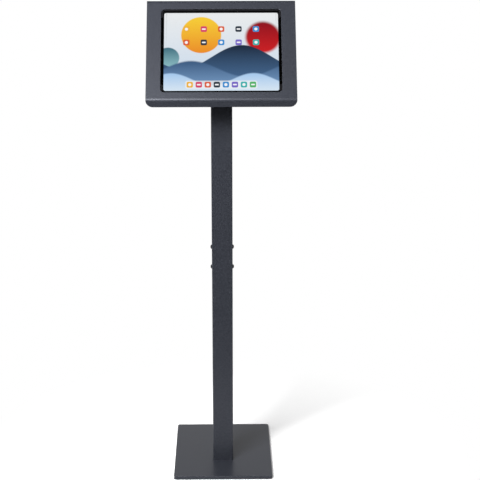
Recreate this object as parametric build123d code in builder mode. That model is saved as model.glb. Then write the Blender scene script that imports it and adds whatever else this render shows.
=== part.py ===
from build123d import *
import os
from math import cos, radians, sin, tan

# A floor-standing tablet kiosk: a rectangular base, a two-part square mast, and a tilted
# sheet-steel head that locks shut around a tablet. Millimetres, +Z up, the front faces -Y.
# The origin lies on the floor, under the middle of the base.

# Clearances and cuts
overrun = 1.0            # how far a cut runs past the face that it leaves
shell_gap = 0.3          # between the swinging cover and the tray inside it
run_gap = 0.08           # radial, round what turns in a bore
fit_gap = 0.15           # between fixed pieces that slip into each other

# Base
base_width = 242.0
base_depth = 306.0
base_thick = 8.0
base_corner = 7.0
base_edge = 0.8
pad_thick = 1.5
pad_radius = 14.0
pad_inset = 24.0         # from the plate's edges to a pad's centre
foot_thick = 22.0        # the block inside the mast that the base screws hold
foot_pitch = 27.0
base_screw_radius = 4.0
base_screw_head = 8.0
base_screw_length = 24.0
base_screw_key = 2.9
base_screw_key_depth = 3.0

# Mast
mast_size = 50.0
mast_wall = 2.0
mast_corner = 2.6
mast_front_inset = 89.5  # from the base's front edge to the mast's front
seam_height = 528.0      # the lower half's length
sleeve_length = 140.0
sleeve_wall = 3.0
joint_pitch = 50.0       # between the screws above and below the seam
joint_screw_radius = 3.0
joint_head_radius = 5.3
joint_head_rim = 0.9
joint_head_height = 3.7
joint_screw_length = 10.0
joint_key = 2.3
joint_key_depth = 2.2
joint_nut_radius = 5.5
joint_nut_thick = 4.0
entry_height = 60.0      # cable entry above the base
entry_hole = 10.0
entry_bore = 6.0
entry_flange = 13.0
entry_flange_thick = 2.0

# Head: where it stands and how it leans
head_tilt = 34.6         # degrees back from upright
neck_height = 1042.0     # where the mast's axis meets the back of the head
neck_rise = 20.0         # that point, above the middle of the head

# Tablet
tablet_width = 280.6
tablet_height = 214.9
tablet_thick = 6.4
tablet_corner = 18.0
tablet_wall = 1.6
tablet_back = 0.9
tablet_edge = 0.5
glass_thick = 0.9
glass_proud = 0.25       # glass above the metal rim
screen_bezel = 8.85      # from the tablet's outer edge to the lit screen
screen_corner = 4.5
screen_thick = 1.2
mask_thick = 0.2
cell_side = 30.7         # from the case's inner wall to the battery, left and right
cell_low = 30.85         # and below it
cell_gap = 8.0           # between the two cells
cell_board_gap = 1.85
cell_clear = 0.6         # under the screen
cell_corner = 4.0
board_side = 38.7
board_height = 20.0
board_thick = 1.1
board_margin = 9.0
port_width = 9.0
port_margin = 1.475      # metal above and below the socket
port_clear = 0.25        # from the socket's inner end to the screen
port_shell = 0.6         # wall of the socket's own sleeve
camera_size = 30.0
camera_corner = 8.0
camera_thick = 1.4
camera_inset = 13.5
lens_radius = 5.2
lens_proud = 0.5
lens_inset = 8.0         # from the bump's sides to a lens's centre
key_long = 13.0          # side buttons
key_short = 11.0
key_margin = 1.875       # metal above and below a button
key_proud = 0.4
key_lip = 0.6
key_lip_thick = 0.7
power_key_from_top = 30.0
volume_key_from_side = 30.0
volume_key_spacing = 2.5

# Cover: one folded sheet with the window
sheet = 2.0
bend = 10.0              # outer radius of both bends
face_lift = 6.0          # front of the cover above the glass
side_margin = 6.9        # window beyond the lit screen, at the sides
end_margin = 6.5         # and above and below it
window_corner = 8.5
face_side = 33.2         # steel beside the window
face_end = 15.3          # flat steel above and below the window
chin_angle = 45.0
chin_flat = 13.0
chin_corner = 16.5
rim_edge = 0.5           # powder-coated edge round the window

# Tray
tray_back_depth = 22.0   # back of the tray behind the front of the glass
tray_wall = 1.5
tray_corner = 3.0
tray_bend = 2.5          # outer radius where the back turns into the walls
side_reveal = 3.5        # the tray stands in from the cover's side edges
low_reveal = 1.5         # and up from the cover's lower bend
vent_length = 26.0
vent_width = 4.0
vent_pitch = 11.0
vent_rows = 5
vent_reach = 105.0
vent_drop = 14.0

# Head plate, on top of the mast
plate_size = 130.0
plate_thick = 4.0
plate_corner = 8.0
plate_screw_inset = 15.0
neck_hole = 16.0
grommet_bore = 12.0
grommet_flange = 20.0
grommet_lip = 1.5
head_screw_radius = 2.5
head_screw_head = 4.6
head_screw_height = 2.6
head_screw_length = 6.0
head_screw_key = 1.7
washer_radius = 5.0
washer_thick = 1.0

# Corner cradles and hold-down pads
cradle_in_side = 12.0    # how far a cradle reaches under the tablet
cradle_out = 5.6         # and past it
rest_gap = 0.3
cradle_drop = 1.0        # top of a cradle below the glass
cradle_edge = 1.0
cradle_screw_radius = 2.0
cradle_screw_head = 3.5
cradle_screw_height = 2.2
cradle_screw_length = 10.0
cradle_screw_key = 1.3
cradle_screw_offset = 5.0    # of each screw, left and right of the cradle's middle
cradle_screw_low = 3.0       # and below it
hold_reach = 5.3         # pad seen inside the window's edge
hold_tail = 11.0         # pad hidden behind the cover
hold_length = 16.6
hold_end = 13.6          # pad's inner end, from the lit screen's corner
hold_corner = 2.0
strip_reach = 3.2        # foam strip seen below the window's upper edge
strip_tail = 5.0         # strip hidden behind the cover
strip_past = 4.0         # and past the window's sides

# Hinge
hinge_inset = 18.05      # from the tray's sides
hinge_count = 9          # knuckles in all, the odd ones on the tray
knuckle_radius = 2.6
pin_radius = 1.5
leaf_thick = 1.2
leaf_clear = 1.25        # from the tray's leaf to the cradle screws' heads
rivet_line = 5.0         # below the leaf's upper edge
leaf_gap = 0.3
rivet_count = 6
rivet_radius = 1.6
rivet_head = 3.2
rivet_head_height = 1.1
rivet_tail = 2.5
rivet_tail_height = 1.4

# Lock
lock_rise = 65.0         # above the tray's lower edge
lock_gap = 1.5           # from the lock's nut to the tray's side wall
barrel_radius = 8.0
barrel_lip = 2.0         # flange beyond the barrel
barrel_flange_thick = 2.5
plug_radius = 5.5
plug_proud = 0.3
keyway_width = 1.8
keyway_length = 7.0
keyway_depth = 7.0
lock_nut_wall = 2.0      # at its flats
lock_nut_thick = 3.0
tail_size = 6.0
cam_thick = 1.8
cam_width = 9.0
cam_reach = 18.0
cam_clear = 2.5          # from the cam to the tablet's back
cam_screw_radius = 2.0
cam_screw_head = 3.6
cam_screw_height = 2.0
cam_screw_length = 5.0
strike_width = 10.0
strike_thick = 1.5
strike_foot = 12.0
strike_gap = 1.5         # lip behind the cam, and leg below it
strike_lip = 6.0         # lip's overlap with the locked cam

# Places that follow from the sizes above
base_top = pad_thick + base_thick
mast_y = mast_front_inset + mast_size / 2 - base_depth / 2
mast_bore = mast_size - 2 * mast_wall
sleeve_size = mast_bore - 2 * fit_gap
seam_z = base_top + seam_height
lean = radians(head_tilt)
face_normal = Vector(0, -cos(lean), sin(lean))
head_up = Vector(0, sin(lean), cos(lean))
neck = Vector(0, mast_y, neck_height)
glass_centre = neck - head_up * neck_rise + face_normal * tray_back_depth

# On head planes x runs to the right, y up the face and z out of the glass.
# On the side plane x runs out of the glass and y up the face.
head = Plane(origin=glass_centre, x_dir=(1, 0, 0), z_dir=face_normal)
side = Plane(origin=glass_centre, x_dir=face_normal, z_dir=(-1, 0, 0))
tray_back = head.offset(-tray_back_depth)
tray_floor = head.offset(-tray_back_depth + tray_wall)

screen_width = tablet_width - 2 * screen_bezel
screen_height = tablet_height - 2 * screen_bezel
window_width = screen_width + 2 * side_margin
window_height = screen_height + 2 * end_margin
face_width = window_width + 2 * face_side
face_half = window_height / 2 + face_end
flange_inside = face_half + bend - sheet
tray_width = face_width - 2 * side_reveal
tray_top = flange_inside - leaf_thick - shell_gap
tray_low = -face_half + low_reveal
tray_middle = (tray_top + tray_low) / 2
tray_height = tray_top - tray_low
tray_depth = tray_back_depth + face_lift - sheet - shell_gap
pin_depth = -tray_back_depth - knuckle_radius - leaf_gap
pin_rise = flange_inside - knuckle_radius
leaf_root = knuckle_radius + leaf_gap
hinge_length = tray_width - 2 * hinge_inset
lock_nut_size = barrel_radius + lock_nut_wall
lock_x = tray_width / 2 - tray_wall - lock_gap - lock_nut_size
lock_y = tray_low + lock_rise
barrel_flange = barrel_radius + barrel_lip
barrel_length = tray_back_depth - tablet_thick - cam_clear - cam_thick - shell_gap
rim_level = -glass_proud
key_level = (rim_level - tablet_thick) / 2
key_width = tablet_thick - glass_proud - 2 * key_margin
port_height = tablet_thick - glass_proud - 2 * port_margin
port_depth = screen_bezel - tablet_wall - port_clear
plate_pitch = plate_size - 2 * plate_screw_inset


def place(plane, x, y):
    """The plane moved to (x, y) of its own surface."""
    return Plane(origin=plane.from_local_coords((x, y, 0)), x_dir=plane.x_dir, z_dir=plane.z_dir)


def turn(seat, *outline):
    """Revolve an outline of (radius, height) points about the axis of its seat."""
    with BuildSketch(Plane(origin=seat.origin, x_dir=seat.x_dir, z_dir=-seat.y_dir)) as section:
        with BuildLine():
            Polyline(*outline, close=True)
        make_face()
    revolve(section.sketch, axis=Axis(seat.origin, seat.z_dir))


def hollow_square(plane, y, outer, wall, corner, length):
    """A square tube that stands on a plane."""
    with BuildSketch(plane) as section:
        with Locations((0, y)):
            RectangleRounded(outer, outer, corner)
            RectangleRounded(outer - 2 * wall, outer - 2 * wall, corner - wall, mode=Mode.SUBTRACT)
    extrude(section.sketch, amount=length)


def cross_hole(y, z, radius):
    """A hole through both side walls of the mast."""
    with BuildSketch(Plane.YZ) as section:
        with Locations((y, z)):
            Circle(radius)
    extrude(section.sketch, amount=mast_size, both=True, mode=Mode.SUBTRACT)


def dome_screw(seat, shank, length, head_radius, rim, height, key, key_depth):
    """A button-head screw with a hexagon socket, its head standing on the seat."""
    with BuildSketch(Plane(origin=seat.origin, x_dir=seat.x_dir, z_dir=-seat.y_dir)) as section:
        with BuildLine():
            Polyline((0, height), (0, -length), (shank, -length), (shank, 0), (head_radius, 0),
                     (head_radius, rim))
            TangentArc((0, height), (head_radius, rim), tangent=(1, 0))
        make_face()
    revolve(section.sketch, axis=Axis(seat.origin, seat.z_dir))
    with BuildSketch(seat.offset(height - key_depth)) as socket:
        RegularPolygon(key, 6)
    extrude(socket.sketch, amount=height, mode=Mode.SUBTRACT)


def save(builder, node):
    """Label a finished piece and write it under its node's name."""
    builder.part.label = node
    export_step(builder.part, f"parts/{node}.step")


os.makedirs("parts", exist_ok=True)

# Base plate, drilled from below for the four screws that hold the mast
under_base = Plane(origin=(0, mast_y, pad_thick), x_dir=(1, 0, 0), z_dir=(0, 0, -1))
with BuildPart() as base_plate:
    with BuildSketch(Plane.XY.offset(pad_thick)):
        RectangleRounded(base_width, base_depth, base_corner)
    extrude(amount=base_thick)
    fillet(base_plate.edges().group_by(Axis.Z)[-1], radius=base_edge)
    with Locations(under_base):
        with GridLocations(foot_pitch, foot_pitch, 2, 2):
            CounterSinkHole(base_screw_radius + fit_gap, base_screw_head + fit_gap,
                            counter_sink_angle=90)
save(base_plate, "base_plate")

pad_x = base_width / 2 - pad_inset
pad_y = base_depth / 2 - pad_inset
for name, x, y in (("front_left", -pad_x, -pad_y), ("front_right", pad_x, -pad_y),
                   ("rear_left", -pad_x, pad_y), ("rear_right", pad_x, pad_y)):
    with BuildPart() as floor_pad:
        with BuildSketch(Plane.XY):
            with Locations((x, y)):
                Circle(pad_radius)
        extrude(amount=pad_thick)
    save(floor_pad, f"floor_pad_{name}")

# Foot block, welded inside the lower end of the mast
with BuildPart() as foot_block:
    with BuildSketch(Plane.XY.offset(base_top)):
        with Locations((0, mast_y)):
            RectangleRounded(sleeve_size, sleeve_size, mast_corner - mast_wall)
            with GridLocations(foot_pitch, foot_pitch, 2, 2):
                Circle(base_screw_radius + run_gap, mode=Mode.SUBTRACT)
    extrude(amount=foot_thick)
save(foot_block, "foot_block")

with BuildPart() as base_screws:
    for x in (-foot_pitch / 2, foot_pitch / 2):
        for y in (-foot_pitch / 2, foot_pitch / 2):
            seat = place(under_base, x, y)
            turn(seat, (0, 0), (0, -base_screw_length), (base_screw_radius, -base_screw_length),
                 (base_screw_radius, base_screw_radius - base_screw_head), (base_screw_head, 0))
            with BuildSketch(seat):
                RegularPolygon(base_screw_key, 6)
            extrude(amount=-base_screw_key_depth, mode=Mode.SUBTRACT)
save(base_screws, "base_screws")

# Mast: two square tubes that meet end to end over a sleeve
joint_rise = joint_pitch / 2
entry_seat = Plane(origin=(0, mast_y + mast_size / 2, base_top + entry_height),
                   x_dir=(-1, 0, 0), z_dir=(0, 1, 0))
with BuildPart() as mast_lower:
    hollow_square(Plane.XY.offset(base_top), mast_y, mast_size, mast_wall, mast_corner, seam_height)
    cross_hole(mast_y, seam_z - joint_rise, joint_screw_radius + fit_gap)
    with BuildSketch(entry_seat):
        Circle(entry_hole)
    extrude(amount=-mast_size / 2, mode=Mode.SUBTRACT)
save(mast_lower, "mast_lower")

with BuildPart() as mast_upper:
    hollow_square(Plane.XY.offset(seam_z), mast_y, mast_size, mast_wall, mast_corner,
                  neck_height + mast_size - seam_z)
    cross_hole(mast_y, seam_z + joint_rise, joint_screw_radius + fit_gap)
    split(bisect_by=tray_back.offset(-plate_thick), keep=Keep.BOTTOM)
save(mast_upper, "mast_upper")

with BuildPart() as joint_sleeve:
    hollow_square(Plane.XY.offset(seam_z - sleeve_length / 2), mast_y, sleeve_size, sleeve_wall,
                  sleeve_wall + fit_gap, sleeve_length)
    for rise in (-joint_rise, joint_rise):
        cross_hole(mast_y, seam_z + rise, joint_screw_radius + run_gap)
save(joint_sleeve, "joint_sleeve")

joint_seats = [
    Plane(origin=(hand * mast_size / 2, mast_y, seam_z + rise), x_dir=(0, 1, 0), z_dir=(hand, 0, 0))
    for hand in (-1, 1)
    for rise in (-joint_rise, joint_rise)
]
with BuildPart() as joint_screws:
    for seat in joint_seats:
        dome_screw(seat, joint_screw_radius, joint_screw_length, joint_head_radius, joint_head_rim,
                   joint_head_height, joint_key, joint_key_depth)
save(joint_screws, "joint_screws")

nut_face = -(mast_size - sleeve_size) / 2 - sleeve_wall
with BuildPart() as sleeve_nuts:
    for seat in joint_seats:
        turn(seat, (joint_screw_radius + run_gap, nut_face), (joint_nut_radius, nut_face),
             (joint_nut_radius, nut_face - joint_nut_thick),
             (joint_screw_radius + run_gap, nut_face - joint_nut_thick))
save(sleeve_nuts, "sleeve_nuts")

with BuildPart() as cable_grommet:
    turn(entry_seat, (entry_bore, entry_flange_thick), (entry_bore, -mast_wall - entry_flange_thick),
         (entry_flange - fit_gap, -mast_wall - entry_flange_thick), (entry_flange - fit_gap, -mast_wall),
         (entry_hole - fit_gap, -mast_wall), (entry_hole - fit_gap, 0), (entry_flange, 0),
         (entry_flange - entry_flange_thick / 2, entry_flange_thick))
save(cable_grommet, "cable_grommet")

# Head plate, welded on the slanted top of the mast
with BuildPart() as head_plate:
    with BuildSketch(tray_back):
        with Locations((0, neck_rise)):
            RectangleRounded(plate_size, plate_size, plate_corner)
            Circle(neck_hole, mode=Mode.SUBTRACT)
            with GridLocations(plate_pitch, plate_pitch, 2, 2):
                Circle(head_screw_radius + run_gap, mode=Mode.SUBTRACT)
    extrude(amount=-plate_thick)
save(head_plate, "head_plate")

# Back tray: the fixed half of the head
cradle_x = tablet_width / 2 + (cradle_out - cradle_in_side) / 2
cradle_y = tablet_height / 2 + (cradle_out - cradle_in_side) / 2
cradle_span = cradle_in_side + cradle_out
cradle_corners = (("left_top", -1, 1), ("right_top", 1, 1), ("left_low", -1, -1), ("right_low", 1, -1))
cradle_screw_spots = [
    (h * (cradle_x + s * cradle_screw_offset), v * (cradle_y - cradle_screw_low))
    for _, h, v in cradle_corners
    for s in (-1, 1)
]
leaf_top = pin_rise - leaf_root
leaf_width = leaf_top - (cradle_y - cradle_screw_low + cradle_screw_head) - leaf_clear
rivet_step = hinge_length / rivet_count
rivet_rise = leaf_top - rivet_line
with BuildPart() as back_tray:
    with BuildSketch(tray_back):
        with Locations((0, tray_middle)):
            RectangleRounded(tray_width, tray_height, tray_corner)
    extrude(amount=tray_depth)
    fillet(back_tray.edges().group_by(Axis(head.origin, head.z_dir))[0], radius=tray_bend)
    with BuildSketch(tray_floor):
        with Locations((0, tray_middle)):
            RectangleRounded(tray_width - 2 * tray_wall, tray_height - 2 * tray_wall,
                             tray_corner - tray_wall)
    extrude(amount=tray_depth, mode=Mode.SUBTRACT)
    with BuildSketch(head.offset(face_lift - bend)):
        with Locations((0, face_half + bend / 2)):
            Rectangle(face_width, bend)
    extrude(amount=bend, mode=Mode.SUBTRACT)
    with BuildSketch(tray_back):
        with Locations((0, neck_rise)):
            Circle(neck_hole)
            with GridLocations(plate_pitch, plate_pitch, 2, 2):
                Circle(head_screw_radius + fit_gap)
        with Locations((lock_x, lock_y)):
            Circle(barrel_radius + fit_gap)
        with Locations(*cradle_screw_spots):
            Circle(cradle_screw_radius + fit_gap)
        with Locations((0, rivet_rise)):
            with GridLocations(rivet_step, 0, rivet_count, 1):
                Circle(rivet_radius + fit_gap)
        with Locations((-vent_reach, -vent_drop), (vent_reach, -vent_drop)):
            with GridLocations(0, vent_pitch, 1, vent_rows):
                SlotOverall(vent_length, vent_width)
    extrude(amount=tray_wall, mode=Mode.SUBTRACT)
save(back_tray, "back_tray")

neck_seat = place(tray_floor, 0, neck_rise)
neck_through = tray_wall + plate_thick
with BuildPart() as neck_grommet:
    turn(neck_seat, (grommet_bore, grommet_lip), (grommet_bore, -neck_through),
         (neck_hole - fit_gap, -neck_through), (neck_hole - fit_gap, 0), (grommet_flange, 0),
         (grommet_flange - grommet_lip / 2, grommet_lip))
save(neck_grommet, "neck_grommet")

head_seats = [
    place(tray_floor, x, neck_rise + y)
    for x in (-plate_pitch / 2, plate_pitch / 2)
    for y in (-plate_pitch / 2, plate_pitch / 2)
]
with BuildPart() as head_washers:
    for seat in head_seats:
        turn(seat, (head_screw_radius + fit_gap, 0), (washer_radius, 0), (washer_radius, washer_thick),
             (head_screw_radius + fit_gap, washer_thick))
save(head_washers, "head_washers")

with BuildPart() as head_screws:
    for seat in head_seats:
        dome_screw(seat.offset(washer_thick), head_screw_radius, head_screw_length, head_screw_head,
                   head_screw_height / 3, head_screw_height, head_screw_key, head_screw_height / 2)
save(head_screws, "head_screws")

# Corner cradles, screwed to the tray's floor from behind
cradle_rise = tray_back_depth - tray_wall - cradle_drop
for name, h, v in cradle_corners:
    with BuildPart() as cradle:
        with BuildSketch(tray_floor):
            with Locations((h * cradle_x, v * cradle_y)):
                RectangleRounded(cradle_span, cradle_span, cradle_edge)
        extrude(amount=cradle_rise)
        with BuildSketch(head.offset(-tablet_thick - rest_gap)):
            RectangleRounded(tablet_width + 2 * rest_gap, tablet_height + 2 * rest_gap,
                             tablet_corner + rest_gap)
        extrude(amount=tablet_thick, mode=Mode.SUBTRACT)
        with BuildSketch(tray_floor):
            with Locations(*[(x, y) for x, y in cradle_screw_spots if x * h > 0 and y * v > 0]):
                Circle(cradle_screw_radius + run_gap)
        extrude(amount=cradle_screw_length, mode=Mode.SUBTRACT)
    save(cradle, f"cradle_{name}")

with BuildPart() as cradle_screws:
    for x, y in cradle_screw_spots:
        spot = place(tray_back, x, y)
        dome_screw(Plane(origin=spot.origin, x_dir=spot.x_dir, z_dir=-spot.z_dir), cradle_screw_radius,
                   cradle_screw_length, cradle_screw_head, cradle_screw_height / 3,
                   cradle_screw_height, cradle_screw_key, cradle_screw_height / 2)
save(cradle_screws, "cradle_screws")

# Tablet
pocket_width = tablet_width - 2 * tablet_wall
pocket_height = tablet_height - 2 * tablet_wall
pocket_corner = tablet_corner - tablet_wall
glass_width = pocket_width - 2 * fit_gap
glass_height = pocket_height - 2 * fit_gap
power_y = tablet_height / 2 - power_key_from_top
volume_x = tablet_width / 2 - volume_key_from_side
key_wall = Plane(origin=head.from_local_coords((tablet_width / 2, power_y, key_level)),
                 x_dir=head_up, z_dir=(1, 0, 0))
volume_walls = [
    Plane(origin=head.from_local_coords((x, tablet_height / 2, key_level)), x_dir=(1, 0, 0),
          z_dir=head_up)
    for x in (volume_x, volume_x - key_short - volume_key_spacing)
]
side_keys = (("power_button", key_wall, key_long), ("volume_up_button", volume_walls[0], key_short),
             ("volume_down_button", volume_walls[1], key_short))
port_wall = Plane(origin=head.from_local_coords((-tablet_width / 2, 0, key_level)),
                  x_dir=head_up, z_dir=(-1, 0, 0))
with BuildPart() as tablet_body:
    with BuildSketch(head.offset(-tablet_thick)):
        RectangleRounded(tablet_width, tablet_height, tablet_corner)
    extrude(amount=tablet_thick + rim_level)
    upright = Axis(head.origin, head.z_dir)
    straight_edges = tablet_body.edges().filter_by(GeomType.LINE).filter_by(upright, reverse=True)
    fillet(straight_edges + tablet_body.edges().filter_by(GeomType.CIRCLE), radius=tablet_edge)
    with BuildSketch(head.offset(-tablet_thick + tablet_back)):
        RectangleRounded(pocket_width, pocket_height, pocket_corner)
    extrude(amount=tablet_thick, mode=Mode.SUBTRACT)
    for _, wall, length in side_keys:
        with BuildSketch(wall):
            SlotOverall(length + 2 * fit_gap, key_width + 2 * fit_gap)
        extrude(amount=-tablet_wall - overrun, mode=Mode.SUBTRACT)
    with BuildSketch(port_wall):
        SlotOverall(port_width, port_height)
    extrude(amount=-tablet_wall - overrun, mode=Mode.SUBTRACT)
save(tablet_body, "tablet_body")

with BuildPart() as tablet_glass:
    with BuildSketch(head.offset(-glass_thick)):
        RectangleRounded(glass_width, glass_height, pocket_corner - fit_gap)
    extrude(amount=glass_thick)
save(tablet_glass, "tablet_glass")

with BuildPart() as screen_mask:
    with BuildSketch(head.offset(-glass_thick)):
        RectangleRounded(glass_width, glass_height, pocket_corner - fit_gap)
        RectangleRounded(screen_width, screen_height, screen_corner, mode=Mode.SUBTRACT)
    extrude(amount=-mask_thick)
save(screen_mask, "screen_mask")

with BuildPart() as tablet_screen:
    with BuildSketch(head.offset(-glass_thick)):
        RectangleRounded(screen_width - fit_gap, screen_height - fit_gap, screen_corner - fit_gap / 2)
    extrude(amount=-screen_thick)
save(tablet_screen, "tablet_screen")

tablet_floor = head.offset(-tablet_thick + tablet_back)
board_y = pocket_height / 2 - board_margin - board_height / 2
cell_width = (pocket_width - cell_gap) / 2 - cell_side
cell_top = board_y - board_height / 2 - cell_board_gap
cell_height = cell_top + pocket_height / 2 - cell_low
with BuildPart() as tablet_battery:
    with BuildSketch(tablet_floor):
        with Locations((0, cell_top - cell_height / 2)):
            with GridLocations(cell_width + cell_gap, 0, 2, 1):
                RectangleRounded(cell_width, cell_height, cell_corner)
    extrude(amount=tablet_thick - tablet_back - glass_thick - screen_thick - cell_clear)
save(tablet_battery, "tablet_battery")

with BuildPart() as tablet_board:
    with BuildSketch(tablet_floor):
        with Locations((0, board_y)):
            Rectangle(pocket_width - 2 * board_side, board_height)
    extrude(amount=board_thick)
save(tablet_board, "tablet_board")

with BuildPart() as charge_socket:
    with BuildSketch(port_wall.offset(-tablet_wall)):
        SlotOverall(port_width + port_shell, port_height + port_shell)
    extrude(amount=-port_depth)
    with BuildSketch(port_wall.offset(-tablet_wall)):
        SlotOverall(port_width - port_shell, port_height - port_shell)
    extrude(amount=port_shell - port_depth, mode=Mode.SUBTRACT)
save(charge_socket, "charge_socket")

camera_x = -tablet_width / 2 + camera_inset + camera_size / 2
camera_y = tablet_height / 2 - camera_inset - camera_size / 2
camera_seat = head.offset(-tablet_thick)
lens_offset = camera_size / 2 - lens_inset
lens_spots = [(camera_x + s * lens_offset, camera_y + s * lens_offset) for s in (-1, 1)]
with BuildPart() as camera_bump:
    with BuildSketch(camera_seat):
        with Locations((camera_x, camera_y)):
            RectangleRounded(camera_size, camera_size, camera_corner)
        with Locations(*lens_spots):
            Circle(lens_radius + fit_gap, mode=Mode.SUBTRACT)
    extrude(amount=-camera_thick)
save(camera_bump, "camera_bump")

with BuildPart() as camera_lenses:
    with BuildSketch(camera_seat):
        with Locations(*lens_spots):
            Circle(lens_radius)
    extrude(amount=-camera_thick - lens_proud)
save(camera_lenses, "camera_lenses")

# Side buttons, each with a lip behind the tablet's wall that keeps it in
for name, wall, length in side_keys:
    with BuildPart() as side_button:
        with BuildSketch(wall.offset(-tablet_wall - fit_gap)):
            SlotOverall(length, key_width)
        extrude(amount=tablet_wall + fit_gap + key_proud)
        with BuildSketch(wall.offset(-tablet_wall - fit_gap)):
            SlotOverall(length + 2 * key_lip, key_width + 2 * key_lip)
        extrude(amount=-key_lip_thick)
    save(side_button, name)

# Front cover: flange over the top, flat face with the window, chin turned back below
chin = radians(chin_angle)
chin_start = -face_half - bend * tan(chin / 2)
chin_run = chin_flat + bend * tan(chin / 2)
chin_end = (face_lift - chin_run * sin(chin), chin_start - chin_run * cos(chin))
chin_normal = face_normal * cos(chin) - head_up * sin(chin)
chin_plane = Plane(origin=side.from_local_coords((*chin_end, 0)), x_dir=(1, 0, 0), z_dir=chin_normal)
with BuildPart() as front_cover:
    with BuildSketch(side):
        with BuildLine():
            FilletPolyline((-tray_back_depth, face_half + bend), (face_lift, face_half + bend),
                           (face_lift, chin_start), chin_end, radius=bend)
            offset(amount=sheet, side=Side.RIGHT)
        make_face()
    extrude(amount=face_width / 2, both=True)
    with BuildSketch(head.offset(face_lift)):
        RectangleRounded(window_width, window_height, window_corner)
    extrude(amount=-sheet - overrun, mode=Mode.SUBTRACT)
    front_face = front_cover.faces().sort_by(Axis(head.origin, head.z_dir))[-1]
    fillet(front_face.inner_wires()[0].edges(), radius=rim_edge)
    with BuildSketch(chin_plane):
        for hand in (-1, 1):
            with Locations((hand * (face_width + overrun - chin_corner) / 2,
                            (chin_corner - overrun) / 2)):
                Rectangle(chin_corner + overrun, chin_corner + overrun)
        for hand in (-1, 1):
            with Locations((hand * (face_width / 2 - chin_corner), chin_corner)):
                Circle(chin_corner, mode=Mode.SUBTRACT)
    extrude(amount=bend, both=True, mode=Mode.SUBTRACT)
save(front_cover, "front_cover")

# Hold-down pads on the cover, over the tablet's corners
hold_depth = face_lift - sheet - rest_gap
for name, h, v in cradle_corners:
    with BuildPart() as hold_pad:
        with BuildSketch(head.offset(face_lift - sheet)):
            with Locations((h * (window_width / 2 + (hold_tail - hold_reach) / 2),
                            v * (screen_height / 2 - hold_end + hold_length / 2))):
                RectangleRounded(hold_reach + hold_tail, hold_length, hold_corner)
        extrude(amount=-hold_depth)
    save(hold_pad, f"hold_pad_{name}")

# Foam strip that closes the gap above the screen
with BuildPart() as hold_strip:
    with BuildSketch(head.offset(face_lift - sheet)):
        with Locations((0, window_height / 2 + (strip_tail - strip_reach) / 2)):
            Rectangle(window_width + 2 * strip_past, strip_reach + strip_tail)
    extrude(amount=-hold_depth)
save(hold_strip, "hold_strip")

# Hinge along the upper rear edge, its pin shared by both leaves
knuckle_step = hinge_length / hinge_count
pin_seat = place(side, pin_depth, pin_rise)


def knuckles(first, leaf_near, leaf_far):
    """Every second knuckle, with a tongue to its leaf between two (depth, rise) corners."""
    for number in range(first, hinge_count, 2):
        middle = hinge_length / 2 - (number + 1 / 2) * knuckle_step
        with BuildSketch(side.offset(middle)) as section:
            with Locations((pin_depth, pin_rise)):
                Circle(knuckle_radius)
            with BuildLine():
                Polyline(leaf_near, (leaf_far[0], leaf_near[1]), leaf_far, (leaf_near[0], leaf_far[1]),
                         close=True)
            make_face()
            with Locations((pin_depth, pin_rise)):
                Circle(pin_radius + run_gap, mode=Mode.SUBTRACT)
        extrude(section.sketch, amount=(knuckle_step - leaf_gap) / 2, both=True)


with BuildPart() as cover_leaf:
    with BuildSketch(side):
        with Locations((pin_depth + leaf_root + leaf_width / 2, flange_inside - leaf_thick / 2)):
            Rectangle(leaf_width, leaf_thick)
    extrude(amount=hinge_length / 2, both=True)
    knuckles(1, (pin_depth, flange_inside), (pin_depth + leaf_root, flange_inside - leaf_thick))
save(cover_leaf, "cover_leaf")

with BuildPart() as tray_leaf:
    with BuildSketch(side):
        with Locations((-tray_back_depth - leaf_thick / 2, leaf_top - leaf_width / 2)):
            Rectangle(leaf_thick, leaf_width)
    extrude(amount=hinge_length / 2, both=True)
    with BuildSketch(tray_back):
        with Locations((0, rivet_rise)):
            with GridLocations(rivet_step, 0, rivet_count, 1):
                Circle(rivet_radius + fit_gap)
    extrude(amount=-leaf_thick, mode=Mode.SUBTRACT)
    knuckles(0, (-tray_back_depth, pin_rise), (-tray_back_depth - leaf_thick, leaf_top))
save(tray_leaf, "tray_leaf")

with BuildPart() as hinge_pin:
    with BuildSketch(pin_seat):
        Circle(pin_radius)
    extrude(amount=hinge_length / 2, both=True)
save(hinge_pin, "hinge_pin")

rivet_through = leaf_thick + tray_wall
with BuildPart() as hinge_rivets:
    for number in range(rivet_count):
        across = (number - (rivet_count - 1) / 2) * rivet_step
        spot = place(tray_back.offset(-leaf_thick), across, rivet_rise)
        seat = Plane(origin=spot.origin, x_dir=spot.x_dir, z_dir=-spot.z_dir)
        turn(seat, (0, rivet_head_height), (rivet_head / 2, rivet_head_height), (rivet_head, 0),
             (rivet_radius, 0), (rivet_radius, -rivet_through), (rivet_tail, -rivet_through),
             (rivet_tail, -rivet_through - rivet_tail_height), (0, -rivet_through - rivet_tail_height))
save(hinge_rivets, "hinge_rivets")

# Cam lock, through the tray's back at one side
lock_spot = place(tray_back, lock_x, lock_y)
lock_seat = Plane(origin=lock_spot.origin, x_dir=lock_spot.x_dir, z_dir=-lock_spot.z_dir)
plug_bore = plug_radius + run_gap
with BuildPart() as lock_barrel:
    turn(lock_seat, (plug_bore, -barrel_length), (barrel_radius, -barrel_length), (barrel_radius, 0),
         (barrel_flange, 0), (barrel_flange, barrel_flange_thick / 2),
         (barrel_flange - barrel_flange_thick / 2, barrel_flange_thick), (plug_bore, barrel_flange_thick))
save(lock_barrel, "lock_barrel")

with BuildPart() as lock_nut:
    with BuildSketch(lock_seat.offset(-tray_wall)):
        RegularPolygon(lock_nut_size, 6, major_radius=False, rotation=30)
        Circle(barrel_radius + run_gap, mode=Mode.SUBTRACT)
    extrude(amount=-lock_nut_thick)
save(lock_nut, "lock_nut")

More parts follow.
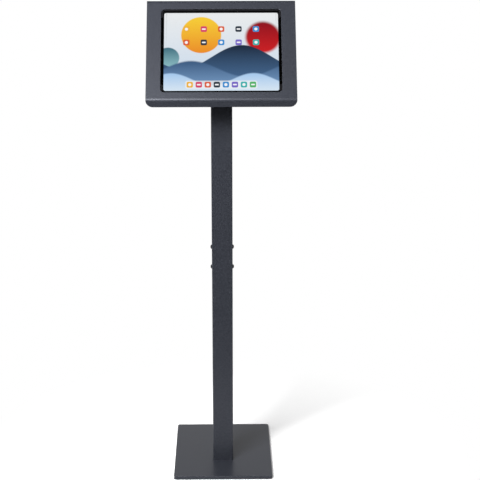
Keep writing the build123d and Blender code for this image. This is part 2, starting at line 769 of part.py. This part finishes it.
cam_level = -barrel_length - shell_gap
with BuildPart() as lock_plug:
    with BuildSketch(lock_seat.offset(cam_level)):
        Circle(plug_radius)
    extrude(amount=barrel_flange_thick + plug_proud - cam_level)
    with BuildSketch(lock_seat.offset(cam_level)):
        Rectangle(tail_size, tail_size)
    extrude(amount=-cam_thick)
    with BuildSketch(lock_seat.offset(barrel_flange_thick + plug_proud)):
        Rectangle(keyway_width, keyway_length)
    extrude(amount=-keyway_depth, mode=Mode.SUBTRACT)
    with BuildSketch(lock_seat.offset(cam_level - cam_thick)):
        Circle(cam_screw_radius + run_gap)
    extrude(amount=cam_screw_length, mode=Mode.SUBTRACT)
save(lock_plug, "lock_plug")

# The cam at rest lies across, behind the tablet: the lock is open
with BuildPart() as lock_cam:
    with BuildSketch(place(head, lock_x, lock_y).offset(-tray_back_depth - cam_level)):
        with Locations((-cam_reach / 2, 0)):
            Rectangle(cam_reach, cam_width)
        Circle(cam_width * 3 / 4)
        Rectangle(tail_size + fit_gap, tail_size + fit_gap, mode=Mode.SUBTRACT)
    extrude(amount=cam_thick)
save(lock_cam, "lock_cam")

with BuildPart() as cam_screw:
    seat = place(head, lock_x, lock_y).offset(-tray_back_depth - cam_level + cam_thick)
    dome_screw(seat, cam_screw_radius, cam_screw_length, cam_screw_head, cam_screw_height / 3,
               cam_screw_height, cam_screw_radius / 2, cam_screw_height / 2)
save(cam_screw, "cam_screw")

# Strike on the cover: a hook whose lip passes behind the locked cam
strike_rise = lock_y - cam_reach - strike_gap
lip_depth = -tray_back_depth - cam_level - strike_gap
with BuildPart() as strike:
    with BuildSketch(side.offset(-lock_x)):
        with BuildLine():
            Polyline((face_lift - sheet, strike_rise - strike_foot), (face_lift - sheet, strike_rise),
                     (lip_depth, strike_rise), (lip_depth, strike_rise + strike_gap + strike_lip),
                     (lip_depth - strike_thick, strike_rise + strike_gap + strike_lip),
                     (lip_depth - strike_thick, strike_rise - strike_thick),
                     (face_lift - sheet - strike_thick, strike_rise - strike_thick),
                     (face_lift - sheet - strike_thick, strike_rise - strike_foot), close=True)
        make_face()
    extrude(amount=strike_width / 2, both=True)
save(strike, "strike")
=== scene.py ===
import math

import bmesh
import bpy
from mathutils import Matrix, Vector


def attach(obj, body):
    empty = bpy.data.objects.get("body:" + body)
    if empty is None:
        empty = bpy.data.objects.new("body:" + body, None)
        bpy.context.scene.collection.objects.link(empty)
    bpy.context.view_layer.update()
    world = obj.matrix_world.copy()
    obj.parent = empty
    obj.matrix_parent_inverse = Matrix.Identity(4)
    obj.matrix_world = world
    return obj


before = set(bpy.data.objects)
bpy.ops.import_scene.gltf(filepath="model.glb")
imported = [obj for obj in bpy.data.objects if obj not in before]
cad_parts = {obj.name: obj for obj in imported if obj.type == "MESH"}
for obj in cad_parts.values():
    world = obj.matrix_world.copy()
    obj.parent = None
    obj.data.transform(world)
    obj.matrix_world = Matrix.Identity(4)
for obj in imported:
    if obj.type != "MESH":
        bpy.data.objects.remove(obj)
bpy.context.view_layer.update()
print("frame loaded:", len(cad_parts), "CAD nodes")

mm = 0.001  # the scene is in metres; the object's sizes below and the camera's are in millimetres


# General helpers

def linear(hexColour):
    # sRGB hex to the linear colour that the shaders take, opaque; the numbers are sRGB's own
    parts = [int(hexColour[i:i + 2], 16) / 255 for i in (1, 3, 5)]
    return tuple(c / 12.92 if c <= 0.04045 else ((c + 0.055) / 1.055) ** 2.4
                 for c in parts) + (1.0,)


def addNode(tree, kind, settings=None, inputs=None, stops=None):
    # adds a node with its settings, where a plain word is its operation, and fills its inputs,
    # by name or in order, with a value, an output, or another node's first output
    node = tree.nodes.new("ShaderNode" + kind)
    if isinstance(settings, str):
        settings = {"operation": settings}
    for name, value in (settings or {}).items():
        setattr(node, name, value)
    filled = inputs if isinstance(inputs, dict) else dict(enumerate(inputs or ()))
    for key, value in filled.items():
        if isinstance(value, bpy.types.Node):
            value = value.outputs[0]
        if isinstance(value, bpy.types.NodeSocket):
            tree.links.new(value, node.inputs[key])
        else:
            node.inputs[key].default_value = value
    for i, (place, colour) in enumerate(stops or ()):
        ramp = node.color_ramp.elements
        stop = ramp[i] if i < 2 else ramp.new(place)  # a new ramp comes with two stops
        stop.position, stop.color = place, linear(colour)
    return node


def newMaterial(name, look):
    # a material with one Principled shader, set from a piece's own dictionary
    material = bpy.data.materials.new(name)
    material.use_nodes = True
    tree = material.node_tree
    tree.nodes.clear()
    sockets = {"Roughness": look["roughness"]}
    if look.get("metal"):
        sockets["Metallic"] = 1.0
    else:
        sockets["IOR"] = look["ior"]
    if "colour" in look:
        sockets["Base Color"] = linear(look["colour"])
    shader = addNode(tree, "BsdfPrincipled", inputs=sockets)
    addNode(tree, "OutputMaterial", inputs={"Surface": shader})
    return material, tree, shader


def grainOf(tree, grainSize, detail):
    # noise whose grains are about grainSize mm across, fixed to the object
    place = addNode(tree, "TexCoord").outputs["Object"]
    return addNode(tree, "TexNoise", inputs={
        "Vector": place, "Scale": 1 / (grainSize * mm), "Detail": detail})


def roughen(tree, shader, height, look):
    # bumps look["depth"] mm high from a height pattern
    bump = addNode(tree, "Bump", inputs={
        "Height": height, "Distance": look["depth"] * mm, "Strength": look["bump"]})
    tree.links.new(bump.outputs[0], shader.inputs["Normal"])


def grainy(name, look):
    # a material of one colour with an even grain
    material, tree, shader = newMaterial(name, look)
    roughen(tree, shader, grainOf(tree, look["grain"], look["detail"]), look)
    return material


def twoTone(tree, shader, pattern, low, high):
    # colours the surface from low to high, each a place in the pattern and a colour
    tint = addNode(tree, "ValToRGB", inputs={"Fac": pattern}, stops=[low, high])
    tree.links.new(tint.outputs[0], shader.inputs["Base Color"])


# The head's own axes: across to the right, up along the glass, out of the glass

head = {
    "glassCentre": Vector((0, -67.966, 1038.030)),
    "tilt": 34.6,          # degrees back from upright
    "headPlateBack": -26,  # the plate's underside, this far along headOut from the glass
}
leanBack = math.radians(head["tilt"])
headUp = Vector((0, math.sin(leanBack), math.cos(leanBack)))
headOut = Vector((0, -math.cos(leanBack), math.sin(leanBack)))


# Powder coated steel: sprayed and baked, so a fine orange peel and a satin sheen

powderCoat = {
    "low": (0.35, "#23252b"), "high": (0.65, "#2d2f35"),
    "shine": "#e3e6f2",  # the sheen is slightly cold
    "roughness": 0.32, "ior": 1.5,
    "grain": 2.4, "detail": 3.0,  # real powder grain is 0.3 mm, drawn coarser so that it shows
    "depth": 0.05, "bump": 0.6,
}


def powderCoatedSteel():
    material, tree, shader = newMaterial("satinPowderCoatedSteel", powderCoat)
    shader.inputs["Specular Tint"].default_value = linear(powderCoat["shine"])
    grain = grainOf(tree, powderCoat["grain"], powderCoat["detail"])
    twoTone(tree, shader, grain, powderCoat["low"], powderCoat["high"])
    roughen(tree, shader, grain, powderCoat)
    return material


# Nitrile rubber feet and grommets: moulded, a dull skin

rubber = {
    "colour": "#161617", "roughness": 0.72, "ior": 1.52,
    "grain": 1.6, "detail": 2.0,  # the real skin's marks are 0.2 mm, drawn coarser
    "depth": 0.04, "bump": 0.3,
}


def mouldedRubber():
    return grainy("mouldedNitrileRubber", rubber)


# Hold-down foam: cut from a block, so open bubbles make it quite matt; mostly air, it hardly
# mirrors, which its low IOR gives

foam = {
    "colour": "#0f0f11", "roughness": 0.9, "ior": 1.2,
    "grain": 1.6, "detail": 4.0,  # real cells are 0.5 mm, drawn coarser
    "depth": 0.1, "bump": 0.5,
}


def closedCellFoam():
    return grainy("cutClosedCellFoam", foam)


# Zinc plated steel: pale, with cloudy patches that are duller where they are darker

zincPlate = {
    "low": (0.35, "#a6abb0"), "high": (0.7, "#b9bdc2"),
    "roughness": 0.35, "metal": True,  # dullToBright then spreads the roughness round this
    "cloud": 16.0, "detail": 3.0,  # patches about as wide as the real ones
    "cloudSpan": (0.3, 0.7), "dullToBright": (0.38, 0.32),
}


def zincPlatedSteel():
    material, tree, shader = newMaterial("zincPlatedSteel", zincPlate)
    cloud = grainOf(tree, zincPlate["cloud"], zincPlate["detail"])
    twoTone(tree, shader, cloud, zincPlate["low"], zincPlate["high"])
    (lowest, highest), (dull, bright) = zincPlate["cloudSpan"], zincPlate["dullToBright"]
    patches = addNode(tree, "MapRange", inputs={
        "Value": cloud, "From Min": lowest, "From Max": highest, "To Min": dull, "To Max": bright})
    tree.links.new(patches.outputs[0], shader.inputs["Roughness"])
    return material


# Other steel and the lock: black oxide is dark and oily, stamped stainless fairly bright,
# and the cast lock face, polished and plated, nearly a mirror

blackOxide = {"colour": "#2b2b2e", "roughness": 0.36, "metal": True}
stainless = {"colour": "#b3b5b8", "roughness": 0.3, "metal": True}
chrome = {"colour": "#dadcdf", "roughness": 0.12, "metal": True}


def blackOxideSteel():
    return newMaterial("blackOxideSteel", blackOxide)[0]


def stampedStainlessSteel():
    return newMaterial("stampedStainlessSteel", stainless)[0]


def chromePlatedZinc():
    return newMaterial("chromePlatedZinc", chrome)[0]


# Cradles: glass-filled nylon, moulded with a fine spark texture

cradle = {
    "colour": "#1d1e21", "roughness": 0.56, "ior": 1.53,
    "grain": 1.2, "detail": 2.0,  # real spark marks are 0.1 mm, drawn coarser
    "depth": 0.03, "bump": 0.35,
}


def mouldedNylon():
    return grainy("mouldedGlassFilledNylon", cradle)


# The tablet's case: bead blasted, then anodised, for a soft even shine without streaks

tabletCase = {
    "colour": "#b4b5b9", "roughness": 0.36, "metal": True,
    "grain": 1.0, "detail": 2.0,  # real bead marks are 0.1 mm, drawn coarser
    "depth": 0.02, "bump": 0.2,
}


def blastedAnodisedAluminium():
    return grainy("beadBlastedAnodisedAluminium", tabletCase)


# The tablet's glass, toughened and polished, clear and sharp in its mirroring; the black ink
# printed behind it, satin; the camera's lenses, coated, so that they look dark

glass = {"roughness": 0.0, "ior": 1.51}
ink = {"colour": "#0b0b0e", "roughness": 0.5, "ior": 1.5}
lens = {"colour": "#0b0e18", "roughness": 0.04, "ior": 1.6}


def toughenedGlass():
    material, tree, shader = newMaterial("polishedToughenedGlass", glass)
    shader.inputs["Transmission Weight"].default_value = 1.0
    return material


def printedBlackInk():
    return newMaterial("blackInkPrint", ink)[0]


def coatedLensGlass():
    return newMaterial("coatedLensGlass", lens)[0]


# Inside the tablet: pouch cells of foil under film, softly creased, and a green masked board
# with tinned pads in rows

pouch = {
    "colour": "#a7a9ad", "roughness": 0.42, "metal": True,
    "grain": 14.0, "detail": 4.0,  # creases about as far apart as the real ones
    "depth": 0.4, "bump": 0.4,
}
board = {
    "roughness": 0.4, "ior": 1.55,
    "padPitch": 3.0, "padStray": 0.35,  # real pads are 1.3 mm apart, drawn coarser
    "pad": (0.20, "#b9a46a"), "mask": (0.26, "#0f3d2a"),
}


def laminatedFoil():
    return grainy("laminatedAluminiumFoil", pouch)


def solderMaskedBoard():
    material, tree, shader = newMaterial("solderMaskedCircuitBoard", board)
    pads = addNode(tree, "TexVoronoi", {"feature": "F1"}, {
        "Vector": addNode(tree, "TexCoord").outputs["Object"],
        "Scale": 1 / (board["padPitch"] * mm), "Randomness": board["padStray"]})
    twoTone(tree, shader, pads, board["pad"], board["mask"])
    return material


# The lit picture: a pale ground with two suns and soft hills, and rows of app tiles

picture = {
    # sizes in millimetres, from the glass's centre
    "ground": "#eef0f1", "groundLow": "#c9dcf0",
    "halfWidth": 131.45, "halfHeight": 98.6, "brightness": 1.1,
    "colour": "#060607", "roughness": 0.4, "ior": 1.5,
    # each sun: place across, place up, radius, colour at its top and at its foot, soft edge
    "suns": [
        (-46, 42, 46, "#fbd23a", "#ef8f2b", 1.2),
        (96, 36, 40, "#8f1420", "#cf2226", 5.0),
        (-122, -16, 26, "#3f6f80", "#8fc0c8", 1.5),
    ],
    # each hill: height at its middle, swell, length of a swell, shift, colour at its top and
    # at its foot, soft edge
    "hills": [
        (-14, 30, 44, 0.5, "#1d2a3d", "#486a92", 1.2),
        (-44, 20, 40, 3.3, "#3b5a80", "#7397c0", 3.0),
        (-70, 15, 30, 5.4, "#a9cdf2", "#dcebf8", 2.5),
    ],
    "footDrop": 2.0,  # how many swells below its middle a hill has its foot colour
    "tilePitch": (40.0, 34.0), "tileSize": 14.5, "tileRound": 3.4,
    "tileRows": 2, "tileFoot": 6.0, "tileColumns": 5, "tileEdge": 0.5,
    "colourStep": (3.0, 2.0),  # how far the colour number moves on per column and per row
    "barHalf": (0.6, 0.25), "barRound": 0.2, "discHalf": 0.5,  # signs, as shares of half a tile
    "fieldEdge": 1.0, "fieldSoft": 0.2,  # how far past the rows tiles are drawn, and its softness
    "dockTiles": 8, "dockPitch": 20.5, "dockUp": -83.5, "dockTall": 20.0,
    "dockColour": "#f4f6f8", "dockCover": 0.72, "markColour": "#fbfbfc",
    "tileColours": ["#3f8fd2", "#57b56a", "#e0603c", "#7a68c8", "#f2b63a",
                    "#2f3a46", "#3fb3b0", "#d9486e"],
}


def litScreen():
    # liquid crystal under glass: gives its own light, so no shade falls on it
    material, tree, shader = newMaterial("litLiquidCrystalScreen", picture)
    shader.inputs["Emission Strength"].default_value = picture["brightness"]

    def along(axis):
        # how many millimetres a point lies from the glass's centre along an axis
        return addNode(tree, "VectorMath", "DOT_PRODUCT", (fromCentre, axis / mm)).outputs["Value"]

    def over(below, above, cover):
        # lays one colour on another where cover is 1
        colours = [linear(c) if isinstance(c, str) else c for c in (below, above)]
        return addNode(tree, "MixRGB", inputs=(cover, *colours))

    def inside(distance, size, edge):
        # 1 where distance is under size, falling to 0 over a soft edge
        return addNode(tree, "MapRange", {"interpolation_type": "SMOOTHSTEP"}, {
            "Value": distance, "From Min": size - edge, "From Max": size + edge,
            "To Min": 1.0, "To Max": 0.0})

    def fade(value, low, high):
        # 0 at low, rising evenly to 1 at high
        return addNode(tree, "MapRange", inputs={
            "Value": value, "From Min": low, "From Max": high})

    def outsideOf(sideways, upward, halfWide, halfTall, rounding):
        # how far a point is from a rectangle that is smaller by its corner rounding
        squares = []
        for away, half in ((sideways, halfWide), (upward, halfTall)):
            size = addNode(tree, "Math", "ABSOLUTE", (away,))
            past = addNode(tree, "Math", "SUBTRACT", (size, half - rounding))
            past = addNode(tree, "Math", "MAXIMUM", (past, 0.0))
            squares.append(addNode(tree, "Math", "MULTIPLY", (past, past)))
        return addNode(tree, "Math", "SQRT", (addNode(tree, "Math", "ADD", squares),))

    def cellOf(value, step):
        # which cell of a row a point is in, and how far it is from that cell's middle
        number = addNode(tree, "Math", "FLOOR", (addNode(tree, "Math", "DIVIDE", (value, step)),))
        middle = addNode(tree, "Math", "MULTIPLY_ADD", (number, step, step / 2))
        return number, addNode(tree, "Math", "SUBTRACT", (value, middle))

    place = addNode(tree, "TexCoord").outputs["Object"]
    fromCentre = addNode(tree, "VectorMath", "SUBTRACT", (place, head["glassCentre"] * mm))
    across, up = along(Vector((1, 0, 0))), along(headUp)

    colour = over(picture["groundLow"], picture["ground"],
                  fade(up, -picture["halfHeight"], picture["halfHeight"]))
    for sunAcross, sunUp, radius, topColour, footColour, edge in picture["suns"]:
        sideways = addNode(tree, "Math", "SUBTRACT", (across, sunAcross))
        upward = addNode(tree, "Math", "SUBTRACT", (up, sunUp))
        away = outsideOf(sideways, upward, radius, radius, radius)
        body = over(footColour, topColour, fade(up, sunUp - radius, sunUp + radius))
        colour = over(colour, body, inside(away, radius, edge))
    for middle, swell, length, shift, topColour, footColour, edge in picture["hills"]:
        turn = addNode(tree, "Math", "MULTIPLY_ADD", (across, 1 / length, shift))
        wave = addNode(tree, "Math", "SINE", (turn,))
        ridge = addNode(tree, "Math", "MULTIPLY_ADD", (wave, swell, middle))
        above = addNode(tree, "Math", "SUBTRACT", (up, ridge))
        foot = middle - picture["footDrop"] * swell
        body = over(footColour, topColour, fade(up, foot, middle + swell))
        colour = over(colour, body, inside(above, 0.0, edge))

    def tiles(colour, sideways, pitch, foot, cover):
        # app tiles on a grid, each with a colour of its own and a plain disc or bar on it
        column, inColumn = cellOf(sideways, pitch[0])
        row, inRow = cellOf(addNode(tree, "Math", "SUBTRACT", (up, foot)), pitch[1])
        count = len(picture["tileColours"])
        perColumn, perRow = picture["colourStep"]
        fromRow = addNode(tree, "Math", "MULTIPLY", (row, perRow))
        turn = addNode(tree, "Math", "MULTIPLY_ADD", (column, perColumn, fromRow))
        number = addNode(tree, "Math", "FLOORED_MODULO", (turn, count))
        share = addNode(tree, "Math", "MULTIPLY_ADD", (number, 1 / count, 0.5 / count))
        tint = addNode(tree, "ValToRGB", inputs={"Fac": share},
                       stops=[(i / count, c) for i, c in enumerate(picture["tileColours"])])
        tint.color_ramp.interpolation = "CONSTANT"
        half, rounding, edge = picture["tileSize"] / 2, picture["tileRound"], picture["tileEdge"]
        tile = inside(outsideOf(inColumn, inRow, half, half, rounding), rounding, edge)
        colour = over(colour, tint, addNode(tree, "Math", "MULTIPLY", (tile, cover)))
        spot = half * picture["discHalf"]
        disc = inside(outsideOf(inColumn, inRow, spot, spot, spot), spot, edge)
        barWide, barTall = (half * part for part in picture["barHalf"])
        barRound = half * picture["barRound"]
        bar = inside(outsideOf(inColumn, inRow, barWide, barTall, barRound), barRound, edge)
        mark = over(disc, bar, addNode(tree, "Math", "FLOORED_MODULO", (turn, 2.0)))
        return over(colour, picture["markColour"], addNode(tree, "Math", "MULTIPLY", (mark, cover)))

    # rows of tiles in the upper part, on an odd number of columns
    pitch, foot = picture["tilePitch"], picture["tileFoot"]
    wide = picture["tileColumns"] * pitch[0] / 2
    tall = picture["tileRows"] * pitch[1] / 2
    fromMiddle = addNode(tree, "Math", "SUBTRACT", (up, foot + tall))
    fromField = outsideOf(across, fromMiddle, wide, tall, 0.0)
    inField = inside(fromField, picture["fieldEdge"], picture["fieldSoft"])
    shifted = addNode(tree, "Math", "ADD", (across, pitch[0] / 2))
    colour = tiles(colour, shifted, pitch, foot, inField)

    # the dock along the bottom, with tiles of its own
    wide = picture["dockTiles"] * picture["dockPitch"] / 2
    tall = picture["dockTall"] / 2
    fromDock = addNode(tree, "Math", "SUBTRACT", (up, picture["dockUp"]))
    dock = inside(outsideOf(across, fromDock, wide, tall, tall / 2), tall / 2, picture["tileEdge"])
    cover = addNode(tree, "Math", "MULTIPLY", (dock, picture["dockCover"]))
    colour = over(colour, picture["dockColour"], cover)
    colour = tiles(colour, across, (picture["dockPitch"], picture["dockTall"]),
                   picture["dockUp"] - tall, dock)
    tree.links.new(colour.outputs[0], shader.inputs["Emission Color"])
    return material


finishes = {
    "powder_coat": powderCoatedSteel, "rubber_pad": mouldedRubber, "hold_pad": closedCellFoam,
    "zinc_steel": zincPlatedSteel, "black_screw": blackOxideSteel, "cradle_plastic": mouldedNylon,
    "tablet_metal": blastedAnodisedAluminium, "cover_glass": toughenedGlass,
    "screen_black": printedBlackInk, "screen_lit": litScreen, "battery_foil": laminatedFoil,
    "circuit_board": solderMaskedBoard, "socket_steel": stampedStainlessSteel,
    "lens_glass": coatedLensGlass, "lock_chrome": chromePlatedZinc,
}


def finishNodes():
    # gives each CAD node the finish of its material slot
    made = {slot: make() for slot, make in finishes.items()}
    for name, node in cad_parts.items():
        slot = node.data.materials[0].name.split(".")[0]
        node.data.materials.clear()
        node.data.materials.append(made[slot])
    return made


materials = finishNodes()
print("finishes:", len(materials))


# Weld bead where the mast's slanted top meets the head plate, coated with the rest

weld = {
    "radius": 2.2, "ripplePitch": 4.0, "ripple": 0.28,
    "mastSide": 50.0, "mastCorner": 2.6, "mastCentre": -38.5,  # the tube, and where it stands
    "around": 12, "cornerSteps": 6, "stepLength": 1.0,         # how finely the bead is cut
}


def mastOutline():
    # points round the mast's square outline, at even steps
    half, corner = weld["mastSide"] / 2, weld["mastCorner"]
    points = []
    for turn in range(4):
        middle = Vector((half - corner, half - corner))
        middle.rotate(Matrix.Rotation(turn * math.pi / 2, 2))
        for step in range(weld["cornerSteps"] + 1):
            angle = turn * math.pi / 2 + step * math.pi / 2 / weld["cornerSteps"]
            points.append(middle + corner * Vector((math.cos(angle), math.sin(angle))))
    line = []
    for start, end in zip(points, points[1:] + points[:1]):
        parts = max(1, round((end - start).length / weld["stepLength"]))
        line += [start.lerp(end, i / parts) for i in range(parts)]
    return line


def seamOutline():
    # the outline carried up the mast to the head plate's slanted underside
    line = []
    for point in mastOutline():
        place = Vector((point.x, point.y + weld["mastCentre"], 0))
        below = head["headPlateBack"] - (place - head["glassCentre"]).dot(headOut)
        line.append(place + Vector((0, 0, below / headOut.z)))
    return line


def makeMastWeld():
    bm = bmesh.new()
    outline = seamOutline()
    count, around = len(outline), weld["around"]
    rings, run = [], 0.0
    for i, place in enumerate(outline):
        if i:
            run += (place - outline[i - 1]).length
        along = (outline[(i + 1) % count] - outline[i - 1]).normalized()
        sideways = along.cross(headOut).normalized()
        wave = math.sin(run / weld["ripplePitch"] * 2 * math.pi)
        swell = weld["radius"] + weld["ripple"] * wave
        ring = []
        for step in range(around):
            angle = 2 * math.pi * step / around
            # the half that would sink into the plate lies flat on it
            offset = sideways * math.cos(angle) + headOut * min(math.sin(angle), 0.0)
            ring.append(bm.verts.new((place + offset * swell) * mm))
        rings.append(ring)
    for i, ring in enumerate(rings):
        following = rings[(i + 1) % count]
        for step in range(around):
            onward = (step + 1) % around
            bm.faces.new((ring[step], ring[onward], following[onward], following[step]))
    bmesh.ops.recalc_face_normals(bm, faces=bm.faces)
    mesh = bpy.data.meshes.new("mastWeldBead")
    bm.to_mesh(mesh)
    bm.free()
    for face in mesh.polygons:
        face.use_smooth = True
    bead = bpy.data.objects.new("mastWeldBead", mesh)
    bpy.context.scene.collection.objects.link(bead)
    mesh.materials.append(materials["powder_coat"])
    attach(bead, "root")


makeMastWeld()
print("weld bead made")


# Studio floor: a pale plane that ends just ahead of the stand and runs far behind it

studioFloor = {
    # in metres, from the stand's middle
    "ahead": -0.65, "behind": 6.0, "half": 4.5,
    "colour": "#f0f0f0", "glow": 0.17,
    "shadeNear": 0.33, "shadeFar": 0.64,  # from where to where its shade fades to plain white
    # as it is mirrored: painted light behind the object (a glow), painted shade on the
    # photographer's side (a darker tint)
    "mirroredShadeColour": "#b0b0b0", "mirroredPaintedGlow": 0.6, "mirrorTurn": 0.25,
}


def makeFloor():
    mesh = bpy.data.meshes.new("studioFloor")
    half, ahead, behind = (studioFloor[key] for key in ("half", "ahead", "behind"))
    mesh.from_pydata([(-half, ahead, 0), (half, ahead, 0), (half, behind, 0), (-half, behind, 0)],
                     [], [(0, 1, 2, 3)])
    floor = bpy.data.objects.new("studioFloor", mesh)
    bpy.context.scene.collection.objects.link(floor)
    material = bpy.data.materials.new("paleStudioFloor")
    material.use_nodes = True
    tree = material.node_tree
    tree.nodes.clear()
    place = addNode(tree, "TexCoord").outputs["Object"]
    rays = addNode(tree, "LightPath").outputs
    soft = {"interpolation_type": "SMOOTHSTEP"}

    # seen straight, or through glass, the floor is lifted a little
    seen = addNode(tree, "Math", "MAXIMUM", (rays["Is Camera Ray"], rays["Is Transmission Ray"]))
    lift = addNode(tree, "Math", "MULTIPLY", (seen, studioFloor["glow"]))
    # as mirrored, the floor behind the object gets a painted glow and the floor ahead a darker tint
    # of painted shade
    rearPart = addNode(tree, "MapRange", soft, {
        "Value": addNode(tree, "SeparateXYZ", inputs=(place,)).outputs["Y"],
        "From Min": -studioFloor["mirrorTurn"], "From Max": studioFloor["mirrorTurn"]})
    paintedGlowPart = addNode(tree, "Math", "MULTIPLY", (rays["Is Glossy Ray"], rearPart))
    paintedShadePart = addNode(tree, "Math", "SUBTRACT", (rays["Is Glossy Ray"], paintedGlowPart))
    level = addNode(tree, "Math", "MULTIPLY_ADD", (paintedGlowPart, studioFloor["mirroredPaintedGlow"], lift))
    tint = addNode(tree, "MixRGB", inputs=(
        paintedShadePart, linear(studioFloor["colour"]), linear(studioFloor["mirroredShadeColour"])))
    plain = addNode(tree, "BsdfDiffuse", inputs={"Color": tint})
    glow = addNode(tree, "Emission", inputs={"Strength": level})
    lifted = addNode(tree, "AddShader", inputs=(plain, glow))

    # only the floor round the object shows shade; further off it is plain white
    away = addNode(tree, "VectorMath", "LENGTH", (place,)).outputs["Value"]
    far = addNode(tree, "MapRange", soft, {
        "Value": away, "From Min": studioFloor["shadeNear"], "From Max": studioFloor["shadeFar"]})
    white = addNode(tree, "Emission", inputs={"Strength": 1.0})
    whitened = addNode(tree, "Math", "MULTIPLY", (far, seen))
    both = addNode(tree, "MixShader", inputs=(whitened, lifted, white))
    addNode(tree, "OutputMaterial", inputs={"Surface": both})
    mesh.materials.append(material)


# Surroundings: white where seen; as a light, pale low down behind, dark overhead and in front

surroundings = {
    "stops": [(0.0, "#505050"), (0.48, "#8a8a8a"), (0.53, "#ffffff"), (0.67, "#ffffff"),
              (0.75, "#8a8a8a"), (0.86, "#3a3a3a"), (1.0, "#2a2a2a")],  # from below to overhead
    "frontLevel": 0.3, "backLevel": 1.0, "levelTurn": 0.5,
}


def makeSurroundings():
    world = bpy.data.worlds.new("studioSurroundings")
    bpy.context.scene.world = world
    world.use_nodes = True
    tree = world.node_tree
    tree.nodes.clear()
    direction = addNode(tree, "TexCoord").outputs["Generated"]
    parts = addNode(tree, "SeparateXYZ", inputs=(direction,)).outputs
    height = addNode(tree, "MapRange", inputs={
        "Value": parts["Z"], "From Min": -1.0, "From Max": 1.0})
    sky = addNode(tree, "ValToRGB", inputs={"Fac": height}, stops=surroundings["stops"])
    level = addNode(tree, "MapRange", {"interpolation_type": "SMOOTHSTEP"}, {
        "Value": parts["Y"],
        "From Min": -surroundings["levelTurn"], "From Max": surroundings["levelTurn"],
        "To Min": surroundings["frontLevel"], "To Max": surroundings["backLevel"]})
    light = addNode(tree, "Background", inputs={"Color": sky, "Strength": level})
    white = addNode(tree, "Background", inputs={"Color": linear("#ffffff"), "Strength": 1.0})

    # seen straight, or through glass alone: a ray that has bounced off a surface takes the light
    rays = addNode(tree, "LightPath").outputs
    bounces = addNode(tree, "Math", "ADD", (rays["Diffuse Depth"], rays["Glossy Depth"]))
    straight = addNode(tree, "Math", "LESS_THAN", (bounces, 0.5))  # no bounce yet
    through = addNode(tree, "Math", "MULTIPLY", (straight, rays["Is Transmission Ray"]))
    seen = addNode(tree, "Math", "MAXIMUM", (rays["Is Camera Ray"], through))
    both = addNode(tree, "MixShader", inputs=(seen, light, white))
    addNode(tree, "OutputWorld", inputs={"Surface": both})


# Lamps: softboxes, most of them to the left and ahead, and the lit screen's own spill

lamps = {
    "softboxes": {  # each: place and size in metres, power in watts
        "keySoftbox": ((-0.95, -1.48, 2.1), 0.8, 98),
        "topSoftbox": ((0.1, 0.3, 3.4), 3.0, 11),
        "fillSoftbox": ((2.4, -1.6, 1.6), 2.0, 10),
        "edgeSoftbox": ((-0.58, -2.41, 2.01), 0.5, 14),
        "bendSoftbox": ((-0.45, -2.1, 2.4), 0.4, 16),
        "sheenSoftbox": ((-1.04, -1.5, 1.95), 1.8, 58),
    },
    "lookAt": (0, -0.03, 0.7),
    # the satin sheen comes from one wide softbox, so that no side view mirrors the small key,
    # and the head's upper bend mirrors a dark ceiling
    "mirroredOnly": ("sheenSoftbox",), "neverMirrored": ("keySoftbox", "topSoftbox"),
    "spillLift": 0.4, "spillPower": 0.14,  # how far off the glass the spill starts, in mm
}


def hangLamp(name, shape, size, power, place, towards, unlit):
    light = bpy.data.lights.new(name, "AREA")
    light.shape, light.energy = shape, power
    light.size, light.size_y = size
    lamp = bpy.data.objects.new(name, light)
    lamp.location = place
    lamp.rotation_euler = towards.to_track_quat("-Z", "Y").to_euler()
    lamp.visible_camera = False
    lamp.visible_diffuse = name not in lamps["mirroredOnly"]
    lamp.visible_glossy = name not in lamps["neverMirrored"]
    lamp.light_linking.receiver_collection = unlit
    bpy.context.scene.collection.objects.link(lamp)


def hangSoftboxes(unlit):
    for name, (place, size, power) in lamps["softboxes"].items():
        hangLamp(name, "SQUARE", (size, size), power, place,
                 Vector(lamps["lookAt"]) - Vector(place), unlit)


def addScreenSpill(unlit):
    # the lit screen's own light on the window's edges, from just in front of the glass
    size = (2 * picture["halfWidth"] * mm, 2 * picture["halfHeight"] * mm)
    place = (head["glassCentre"] + headOut * lamps["spillLift"]) * mm
    hangLamp("screenSpill", "RECTANGLE", size, lamps["spillPower"], place, headOut, unlit)


def leaveOutGlass():
    # a photographer turns the lamps until none is mirrored in the glass
    unlit = bpy.data.collections.new("notLitByLamps")
    unlit.objects.link(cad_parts["tablet_glass"])
    unlit.collection_objects[0].light_linking.link_state = "EXCLUDE"
    return unlit


def lightStudio():
    makeFloor()
    makeSurroundings()
    unlit = leaveOutGlass()
    hangSoftboxes(unlit)
    addScreenSpill(unlit)


lightStudio()
print("studio ready")


# Camera: a long lens a little above the head, tipped down

photoView = {
    "place": (5.29, -3001.13, 1444.38), "lens": 95.946, "sensor": 36.0,
    "down": 16.28, "swing": 0.457, "roll": -0.12,  # degrees
    "shift": 0.01215,
}


def makeCamera():
    down, swing, roll = (math.radians(photoView[key]) for key in ("down", "swing", "roll"))
    right = Vector((math.cos(swing), -math.sin(swing), 0))
    ahead = Vector((math.sin(swing) * math.cos(down), math.cos(swing) * math.cos(down),
                    -math.sin(down)))
    upward = right.cross(ahead)
    rolledRight = right * math.cos(roll) + upward * math.sin(roll)
    rolledUp = upward * math.cos(roll) - right * math.sin(roll)
    data = bpy.data.cameras.new("photoCamera")
    data.sensor_width, data.lens = photoView["sensor"], photoView["lens"]
    data.shift_x = photoView["shift"]
    camera = bpy.data.objects.new("photoCamera", data)
    turned = Matrix((rolledRight, rolledUp, -ahead)).transposed().to_4x4()
    camera.matrix_world = Matrix.Translation(Vector(photoView["place"]) * mm) @ turned
    bpy.context.scene.collection.objects.link(camera)
    bpy.context.scene.camera = camera


makeCamera()
bpy.context.scene.view_settings.view_transform = "Standard"
print("camera set")
